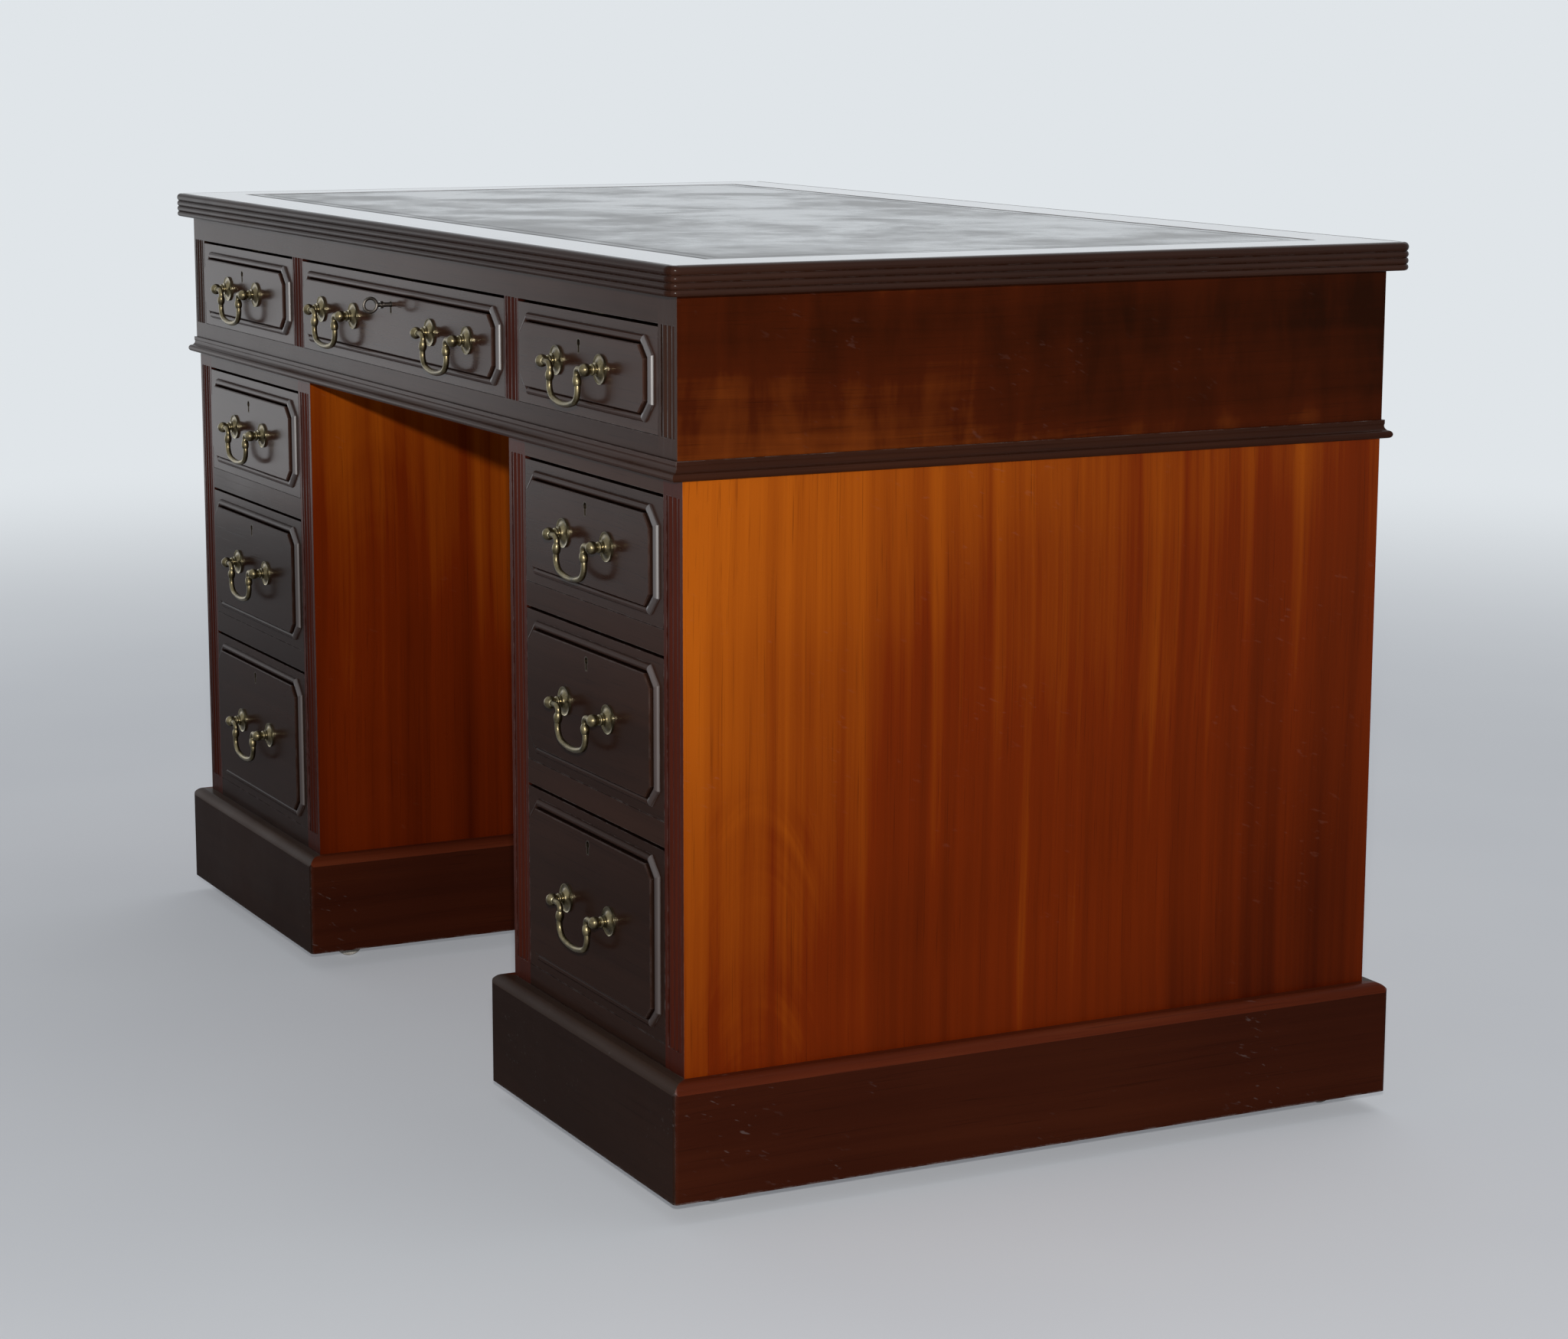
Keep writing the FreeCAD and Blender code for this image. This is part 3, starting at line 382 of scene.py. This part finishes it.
def case_boards_and_light(place):
    """Boards glued up to the width with a flame figure in the front one. Palest at the front and
    towards the top: partly the steps between the glued-up widths, partly painted light that falls
    off towards the back and the floor.

    Inside the knee hole the front-to-back paling turns to painted shade: darker at the front and
    lighter towards the back.
    """
    depth = place.axis("Y") - case_low.y
    height = place.axis("Z") - case_low.z
    # The steps between the boards carry painted light too, falling off towards the back; the rise up
    # the side is painted light alone.
    board_and_light_shares = 0.66, 0.62, 0.54, 0.51, 0.54, 0.5, 0.43, 0.4, 0.38
    boards = depth.profile(0.0, case_high.y - case_low.y, *board_and_light_shares)
    painted_light_rise = height.profile(0.0, case_high.z - case_low.z, 0.32, 0.38, 0.48, 0.57, 0.64)
    aside = depth - flame_middle
    arch = place.node("ShaderNodeCombineXYZ", None, {"X": height + aside * aside * 26.0})
    patch = place.noise(7.0, 2.0, 0.5).between(0.42, 0.62)
    within = 1.0 - place.math("ABSOLUTE", aside).between(0.02, 0.08)
    flame = (arch.noise(26.0, 3.0, 0.6) - 0.5) * within * patch
    # Painted shade on the sides inside the knee hole.
    across = place.math("ABSOLUTE", place.axis("X"))
    shade = 1.0 - across.between(case_low.x + 0.002, case_low.x + 0.03)
    boards_light_and_shade = (boards - 0.5) * (1.1 - shade * 1.6) + (painted_light_rise - 0.5)
    return boards_light_and_shade + flame * (0.5 - shade * 0.4) + shade * 0.05


def softwood(name, grain):
    """Bare pine or cedar, grey brown with handling, ringed with harder lines."""
    material, place, shader = start(name)
    length = {"x": (0.06, 1.0, 1.0), "y": (1.0, 0.06, 1.0), "z": (1.0, 1.0, 0.06)}[grain]
    along = place.stretched(length)
    ring = along.noise(90.0, 3.0, 0.5, 0.8)
    fleck = along.noise(620.0, 2.0, 0.6)
    stain = place.noise(9.0, 4.0, 0.6)
    tone = ring * 0.6 + fleck * 0.25 + (stain - 0.5) * 0.5
    dark, body, pale = paint(98, 68, 42), paint(146, 108, 70), paint(176, 140, 98)
    wood = tone.colours((0.22, dark), (0.5, body), (0.8, pale))
    wire(shader, Base_Color=wood, Roughness=0.62 + fleck * 0.15, Specular_IOR_Level=0.25)
    wire(shader, Normal=relief(ring + fleck * 0.5, 0.0001, 0.4))
    return material


pine_across = softwood("pine_across", "x")
pine_deep = softwood("pine_deep", "y")
cases = ["left_pedestal_case", "right_pedestal_case"]
amber_glow = {"tint": amber_tint, "wear": 0.0, "scuffs": 0.06, "matched": True}
case_wood = mahogany("case_wood", "z", amber_tones, 0.8, lustre=0.12, **amber_glow, tone_and_light=case_boards_and_light)
tall_reach = 0.3


def side_or_inside(low, high):
    """Slot 0 for the tall sides and back, 1 and 2 for the softwood across and deep inside."""
    return 0 if high.z - low.z > tall_reach else 1 + longer_side(low, high)


dress(cases, case_wood, pine_across, pine_deep)
sort_faces(cases, side_or_inside)


# Pedestal fronts: reeded stiles and plain rails tenoned between them, gone
# dark brown under old polish, redder on the stiles where hands rub them.
front_tones = paint(27, 15, 11), paint(48, 30, 23), paint(68, 43, 33)
stile_tones = paint(36, 13, 8), paint(70, 28, 18), paint(98, 44, 29)
front_glow = {"shine": 0.22, "lustre": 0.03, "wear": 0.7, "grime_and_shade": 0.8, "polish": (0.0, 0.18)}
rail_glow = {**front_glow, "polish": (0.0, 0.07)}


def front_painted_light(place):
    """Browner towards the top: painted light, where the upper front is lit more strongly."""
    return place.axis("Z").between(dull_level, bright_level) * 0.2


stile_glow = {"shine": 0.24, "lustre": 0.03, "wear": 0.9, "grime_and_shade": 0.6, "polish": (0.0, 0.06)}
stile_wood = mahogany("stile_wood", "z", stile_tones, 0.6, **stile_glow)
rail_wood = mahogany("rail_wood", "x", front_tones, 0.5, **rail_glow, tone_and_light=front_painted_light)
stile_reach = 0.06
flat_reach = 0.0001


def rail_or_stile(low, high):
    """Slot 1 for a rail, 2 for the bleached side of a stile, 0 for the rest of a stile."""
    if high.x - low.x > stile_reach:
        return 1
    outermost = min(abs(abs(low.x) - edge) for edge in (case_low.x, case_high.x))
    return 2 if high.x - low.x < flat_reach and outermost < flat_reach else 0


fronts = ["left_pedestal_front_frame", "right_pedestal_front_frame"]
dress(fronts, stile_wood, rail_wood, case_wood)
sort_faces(fronts, rail_or_stile)


# Frieze: end and back boards with the grain along them, a darker cut with a
# broken mottle, a front of stiles, muntins and rails, and softwood partitions
# between the drawers.
frieze_tones = paint(32, 9, 3), paint(62, 20, 5), paint(116, 54, 15)
frieze_low, frieze_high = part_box("frieze_case")


def frieze_painted_light(place):
    """Painted light and shade: paler along the foot and towards the front, darker higher up and
    towards the back.
    """
    rise = place.axis("Z").profile(frieze_low.z, frieze_high.z, 0.64, 0.5, 0.34, 0.28, 0.4)
    run = place.axis("Y").profile(frieze_low.y, frieze_high.y, 0.56, 0.52, 0.47, 0.36, 0.26)
    return rise + run - 1.0


frieze_back_wood = mahogany(
    "frieze_back_wood", "x", frieze_tones, 0.9, 0.3, lustre=0.06, tint=amber_tint
)
frieze_end_wood = mahogany(
    "frieze_end_wood", "y", frieze_tones, 0.6, 0.5, lustre=0.06, **amber_glow, tone_and_light=frieze_painted_light
)
dress(["frieze_case"], frieze_back_wood, frieze_end_wood)
sort_faces(["frieze_case"], longer_side)
dress(["frieze_partitions"], pine_deep)
post_wood = mahogany("post_wood", "z", front_tones, 0.5, **rail_glow, tone_and_light=front_painted_light)
muntin_reach = 0.3


def post_or_end(low, high):
    """Slot 0 for a muntin, 1 for a rail, 2 for an outer stile, 3 for the side of an outer stile."""
    if high.x - low.x > stile_reach:
        return 1
    if max(high.x, -low.x) < muntin_reach:
        return 0
    return 3 if high.x - low.x < flat_reach and abs(abs(low.x) - frieze_high.x) < flat_reach else 2


dress(["frieze_front_frame"], stile_wood, rail_wood, post_wood, frieze_end_wood)
sort_faces(["frieze_front_frame"], post_or_end)


# Waist moulding: four mitred lengths planted round the foot of the frieze,
# where it hides the joint with the pedestals.
moulding_tones = paint(26, 12, 7), paint(48, 24, 14), paint(74, 40, 24)
dress(
    ["waist_moulding"],
    mahogany("moulding_wood_across", "x", front_tones, 0.5, **rail_glow, tone_and_light=front_painted_light),
    mahogany("moulding_wood_deep", "y", moulding_tones, 0.6, lustre=0.06, wear=0.6),
)
sort_faces(["waist_moulding"], longer_side)


# Top: a framed panel with a mitred mahogany border and a reeded edge all
# round. It has the highest polish of the desk.
border_tones = paint(40, 17, 10), paint(80, 36, 20), paint(114, 60, 36)
edging_tones = paint(26, 13, 8), paint(44, 24, 16), paint(64, 37, 25)
top_low, top_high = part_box("desk_top")
edging_depth = 0.0081


def border_or_edging(low, high):
    """Slots 0 and 1 for the border and 2 and 3 for the edging, across and deep."""
    if high.y < top_low.y + edging_depth or low.y > top_high.y - edging_depth:
        return 2
    if high.x < top_low.x + edging_depth or low.x > top_high.x - edging_depth:
        return 3
    return longer_side(low, high)


border_glow = {"shine": 0.08, "lustre": 0.2, "wear": 0.15, "polish": (0.85, 0.85)}
edging_front_glow = {"shine": 0.24, "lustre": 0.03, "wear": 0.3, "polish": (0.0, 0.05)}
edging_end_glow = {"shine": 0.24, "lustre": 0.06, "wear": 0.3, "polish": (0.0, 0.12)}
dress(
    ["desk_top"],
    mahogany("top_wood_across", "x", border_tones, 0.6, **border_glow),
    mahogany("top_wood_deep", "y", border_tones, 0.6, **border_glow),
    mahogany("edging_wood_across", "x", edging_tones, 0.6, **edging_front_glow),
    mahogany("edging_wood_deep", "y", edging_tones, 0.6, **edging_end_glow),
)
sort_faces(["desk_top"], border_or_edging)


# Leather: one hide glued into the recess of the top, nearly black, blind
# tooled with a pair of lines inside its edge and scuffed to grey in use.
leather_low, leather_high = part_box("writing_leather")


def worn_hide():
    """Black hide worn grey in patches, its gloss gone where it is scuffed."""
    material, place, shader = start("worn_hide")
    grain = place.node("ShaderNodeTexVoronoi", {"feature": "F1"}, {"Vector": place, "Scale": 900.0})
    crease = place.stretched((0.35, 1.0, 1.0)).noise(34.0, 5.0, 0.65, 0.8)
    scuff = place.noise(6.5, 6.0, 0.66, 0.2)
    middle = (leather_low + leather_high) / 2
    half = (leather_high - leather_low) / 2
    across = place.math("ABSOLUTE", place.axis("X") - middle.x)
    deep = place.math("ABSOLUTE", place.axis("Y") - middle.y)
    inset = place.math("MINIMUM", half.x - across, half.y - deep)
    tooled = 0.0
    for line_at, line_half in ((0.003, 0.0022), (0.016, 0.0008), (0.020, 0.0008)):
        off = place.math("ABSOLUTE", inset - line_at)
        tooled = tooled + (1.0 - off.between(line_half * 0.5, line_half * 1.5))
    leaned_on = 1.0 - (place.axis("Y") - leather_low.y).between(0.0, 0.3)
    worn = (scuff + leaned_on * 0.07).between(0.38, 0.66)
    tone = crease * 0.6 + scuff * 0.4 - 0.04
    black, brown, grey = paint(30, 26, 25), paint(52, 46, 44), paint(86, 78, 74)
    hide = tone.colours((0.3, black), (0.55, brown), (0.75, grey))
    wire(shader, Base_Color=tooled.over(hide, paint(16, 13, 12)))
    wire(shader, Roughness=0.24 + worn * 0.1 + tooled * 0.2, Specular_IOR_Level=0.7)
    wire(shader, Coat_Weight=0.78 - worn * 0.6 - tooled, Coat_Roughness=0.14)
    wire(shader, Normal=relief(grain * 0.25 + crease * 0.6 - tooled, 0.0003, 0.3))
    return material


dress(["writing_leather"], worn_hide())


# Drawers: mahogany fronts with a raised field, canted at its corners inside a
# mitred bead, lap-dovetailed to softwood sides, back and bottom. The bead at the
# right end of each front carries a painted highlight: pale rubbed edges and a
# fuller, more mirroring coat than the rest.
drawers = named("_drawer")
drawer_wood = mahogany("drawer_wood", "x", front_tones, 0.5, **front_glow, tone_and_light=front_painted_light)
# Painted highlight on the right-hand bead: pale edges and a strong, mirroring coat.
bead_highlight_glow = {
    "shine": 0.4, "satin": 1.0, "index": 2.3, "lustre": 0.03, "wear": 1.0, "polish": (0.6, 1.0),
}
bead_painted_highlight = mahogany("bead_painted_highlight", "z", front_tones, 0.4, **bead_highlight_glow)
front_thickness = 0.0221
bead_rise = (0.0033, 0.0039)


def front_or_box(low, high):
    """Slot 0 for the front, 3 for the painted highlight on the bead at its right end, 1 and 2 for
    the box across and deep.
    """
    if high.y > front_back:
        return 1 + longer_side(low, high)
    return 3 if bead_rise[0] < high.y - low.y < bead_rise[1] and low.x > bead_start else 0


dress(drawers, drawer_wood, pine_across, pine_deep, bead_painted_highlight)
for drawer in drawers:
    front_low, front_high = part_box(drawer)
    front_back = front_low.y + front_thickness
    bead_start = (front_low.x + front_high.x) / 2
    sort_faces([drawer], front_or_box)


# Brass: cast handle posts, lock cases, bolts and keyhole rims, and the bent
# swan-neck bails that hang in the posts, brown in the hollows and bright
# where fingers rub them. The rims round the keyholes are almost black.
rim_tones = paint(40, 34, 27), paint(74, 64, 52), paint(112, 100, 80)
dark_brass = aged_metal("dark_brass", rim_tones, 0.4, 0.0004)
brasses = named("_drawer_brass")
dress(brasses, aged_brass, dark_brass)
dress(named("_handle") + ["centre_lock_bolt"], aged_brass)
rim_reach = 0.0045
rim_height = 0.016
lock_depth = 0.0095


def rim_or_casting(low, high):
    """Slot 1 for the small skins of a keyhole rim in the middle of the front."""
    beside = max(abs(low.x - brass_middle), abs(high.x - brass_middle))
    return 1 if beside < rim_reach and high.z - low.z < rim_height and high.y < lock_front else 0


for brass in brasses:
    brass_low, brass_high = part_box(brass)
    brass_middle = (brass_low.x + brass_high.x) / 2
    lock_front = brass_high.y - lock_depth
    sort_faces([brass], rim_or_casting)


# Key: plain forged steel with a ring bow, dark with handling, standing in
# the lock of the centre drawer.
steel_tones = paint(58, 53, 49), paint(122, 115, 108), paint(184, 180, 174)
dark_steel = aged_metal("dark_steel", steel_tones, 0.26, 0.0008)
dress(["centre_drawer_key"], dark_steel)


# Fixings: slotted screws that hold each lock and castor plate, and the square
# nuts and washers that draw the handle posts tight inside the drawers.
def prism(outline, foot, rise, axis, mesh_parts):
    """A closed prism over an outline of (across, up) points, rising from its foot along an axis."""
    corners, faces = mesh_parts
    first = len(corners)
    count = len(outline)
    for height in (0.0, rise):
        for u, v in outline:
            corners.append(foot + axis[0] * u + axis[1] * v + axis[2] * height)
    faces.append([first + i for i in reversed(range(count))])
    faces.append([first + count + i for i in range(count)])
    for i in range(count):
        j = (i + 1) % count
        faces.append([first + i, first + j, first + count + j, first + count + i])


def round_outline(radius, low=0.0, high=2 * math.pi, steps=20):
    """Points round an arc."""
    angles = [low + (high - low) * step / steps for step in range(steps)]
    return [(radius * math.cos(angle), radius * math.sin(angle)) for angle in angles]


def slotted_screw(place, axis, turn, mesh_parts):
    """A countersunk head: a thin disc with two half-round lands beside its slot."""
    c, s = math.cos(turn), math.sin(turn)
    turned = (axis[0] * c + axis[1] * s, axis[1] * c - axis[0] * s, axis[2])
    prism(round_outline(screw_radius), place, screw_head * disc_share, turned, mesh_parts)
    land_foot = place + turned[2] * (screw_head * (1.0 - land_share))
    land_radius = screw_radius * land_radius_share
    slot_angle = math.asin(screw_slot / 2 / screw_radius)
    land = round_outline(land_radius, slot_angle, math.pi - slot_angle, 12)
    land.append((-land_radius * math.cos(slot_angle), screw_slot / 2))
    for side in (1, -1):
        outline = [(u * side, v * side) for u, v in land]
        prism(outline, land_foot, screw_head * land_share, turned, mesh_parts)


def fixing(name, mesh_parts, material, body):
    """One piece from the parts of a mesh, riding on a body."""
    mesh = bpy.data.meshes.new(name)
    mesh.from_pydata([tuple(c) for c in mesh_parts[0]], [], mesh_parts[1])
    mesh.materials.append(material)
    piece = bpy.data.objects.new(name, mesh)
    bpy.context.scene.collection.objects.link(piece)
    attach(piece, body)


screw_radius, screw_head, screw_slot = 0.0026, 0.0008, 0.0007
disc_share, land_share, land_radius_share = 0.45, 0.6, 0.97
inwards = (Vector((1.0, 0.0, 0.0)), Vector((0.0, 0.0, 1.0)), Vector((0.0, 1.0, 0.0)))
downwards = (Vector((1.0, 0.0, 0.0)), Vector((0.0, -1.0, 0.0)), Vector((0.0, 0.0, -1.0)))
lock_half, lock_screw_inset, lock_screw_drop = 0.027, 0.006, 0.033
bail_pin_beyond, bail_radius = 0.002, 0.0026
nut_half, nut_thickness, washer_radius, washer_thickness = 0.0045, 0.0032, 0.0075, 0.0008
stud_radius, stud_end = 0.0021, 0.0065
for drawer in drawers:
    screws, nuts = ([], []), ([], [])
    brass_low, brass_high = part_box(f"{drawer}_brass")
    middle = (brass_low.x + brass_high.x) / 2
    for side in (-1, 1):
        for drop in (lock_screw_inset, lock_screw_drop):
            x = middle + side * (lock_half - lock_screw_inset)
            at = Vector((x, brass_high.y, brass_high.z - drop))
            slotted_screw(at, inwards, middle * 9.0 + side * drop * 60.0, screws)
    for handle in (name for name in named("_handle") if name.startswith(drawer)):
        bail_low, bail_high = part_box(handle)
        level = bail_high.z - bail_radius
        for x in (bail_low.x + bail_pin_beyond, bail_high.x - bail_pin_beyond):
            at = Vector((x, brass_high.y, level))
            lean = 0.3 + x * 4.0
            square = round_outline(nut_half * math.sqrt(2), lean, lean + 2 * math.pi, 4)
            prism(round_outline(washer_radius), at, washer_thickness, inwards, nuts)
            prism(square, at + inwards[2] * washer_thickness, nut_thickness, inwards, nuts)
            prism(round_outline(stud_radius, steps=14), at, stud_end, inwards, nuts)
    fixing(f"{drawer}_lock_screws", screws, dull_iron, drawer)
    fixing(f"{drawer}_handle_nuts", nuts, aged_brass, drawer)
plate_screws = ([], [])
plate_screw_inset = 0.006
least_plate, plate_level_slack = 0.04, 0.001
plates_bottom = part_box("castor_plates")[0].z
for faces, low, high in skins(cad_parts["castor_plates"].data):
    underside = high.z - low.z < flat_reach and low.z < plates_bottom + plate_level_slack
    if underside and high.x - low.x > least_plate:
        for x in (low.x + plate_screw_inset, high.x - plate_screw_inset):
            for y in (low.y + plate_screw_inset, high.y - plate_screw_inset):
                slotted_screw(Vector((x, y, low.z)), downwards, x * 31.0 + y * 17.0, plate_screws)
fixing("castor_plate_screws", plate_screws, dull_iron, "desk")


# Studio: a pale floor and surround, a small lamp beside the camera, a faint
# one at the left and a wide soft one overhead, and the camera where the
# picture was taken from.
floor_reach = 40.0
floor_mesh = bpy.data.meshes.new("floor")
signs = (-1, -1), (1, -1), (1, 1), (-1, 1)
floor_corners = [(x * floor_reach, y * floor_reach, 0.0) for x, y in signs]
floor_mesh.from_pydata(floor_corners, [], [(0, 1, 2, 3)])
floor = bpy.data.objects.new("floor", floor_mesh)
bpy.context.scene.collection.objects.link(floor)
floor_paint, floor_place, floor_shader = start("floor_paint")
floor_stops = (0.3, paint(186, 189, 194)), (0.7, paint(192, 195, 199))
wire(floor_shader, Base_Color=floor_place.noise(2.0).colours(*floor_stops))
wire(floor_shader, Roughness=0.8, Specular_IOR_Level=0.2, Emission_Strength=1.0)
looked_at = floor_place.node("ShaderNodeLightPath", None, None, "Is Camera Ray")
wire(floor_shader, Emission_Color=looked_at.over((0.0, 0.0, 0.0), paint(120, 122, 126)))
surround_colour = paint(224, 229, 233)
near, far = 1.4, 4.4
length = {"operation": "LENGTH"}
distance = floor_place.node("ShaderNodeVectorMath", length, {0: floor_place}, "Value")
haze = floor_place.node("ShaderNodeEmission", None, {"Color": (*surround_colour, 1.0)})
lit_floor = Shade(floor_place.tree, floor_shader.outputs[0])
mixed = {0: distance.between(near, far), 1: lit_floor, 2: haze}
faded = floor_place.node("ShaderNodeMixShader", None, mixed)
wire(floor_place.tree.nodes["Material Output"], Surface=faded)
floor_mesh.materials.append(floor_paint)

world = bpy.data.worlds.new("surround")
bpy.context.scene.world = world
world.use_nodes = True
air = Shade(world.node_tree)
rays = air.node("ShaderNodeLightPath").socket.node
ray_kinds = "Is Camera Ray", "Is Glossy Ray", "Is Transmission Ray"
seen = [Shade(air.tree, rays.outputs[kind]) for kind in ray_kinds]
surround = air.tree.nodes["Background"]
surround.inputs["Color"].default_value = (*surround_colour, 1.0)
wire(surround, Strength=0.25 + 0.75 * (seen[0] + seen[1] + seen[2]).between(0.0, 1.0))


def lamp(name, place, aim, size, watts, colour):
    """A square lamp that points at its aim."""
    light = bpy.data.lights.new(name, "AREA")
    light.size = size
    light.energy = watts
    light.color = colour
    holder = bpy.data.objects.new(name, light)
    holder.location = place
    holder.rotation_euler = (Vector(aim) - Vector(place)).to_track_quat("-Z", "Y").to_euler()
    bpy.context.scene.collection.objects.link(holder)


lamp("view_lamp", (3.13, -1.51, 1.16), (0.2, -0.1, 0.5), 0.06, 66.0, (1.0, 0.97, 0.93))
lamp("left_lamp", (-2.7, -1.05, 0.6), (0.0, -0.4, 0.6), 0.9, 2.8, (0.96, 0.98, 1.0))
lamp("back_lamp", (-0.5, 1.3, 3.4), (0.0, 0.3, 0.6), 3.4, 34.0, (1.0, 1.0, 1.0))

focal_pixels = 4631.07
picture_width = 2048
view_dip = 10.43
view_turn = 63.09
view_roll = 0.128
camera_across, camera_forward, camera_level = 3.13466, 1.523, 0.97013
lens = bpy.data.cameras.new("camera")
lens.sensor_width = 36.0
lens.lens = lens.sensor_width * focal_pixels / picture_width
lens.clip_end = 200.0
camera = bpy.data.objects.new("camera", lens)
bpy.context.scene.collection.objects.link(camera)
top_middle = (top_low.y + top_high.y) / 2
stand = Matrix.Translation((camera_across, top_middle - camera_forward, camera_level))
swing = Euler((math.radians(90 - view_dip), 0.0, math.radians(view_turn))).to_matrix().to_4x4()
camera.matrix_world = stand @ swing @ Matrix.Rotation(math.radians(view_roll), 4, "Z")
bpy.context.scene.camera = camera
bpy.context.scene.view_settings.view_transform = "Standard"
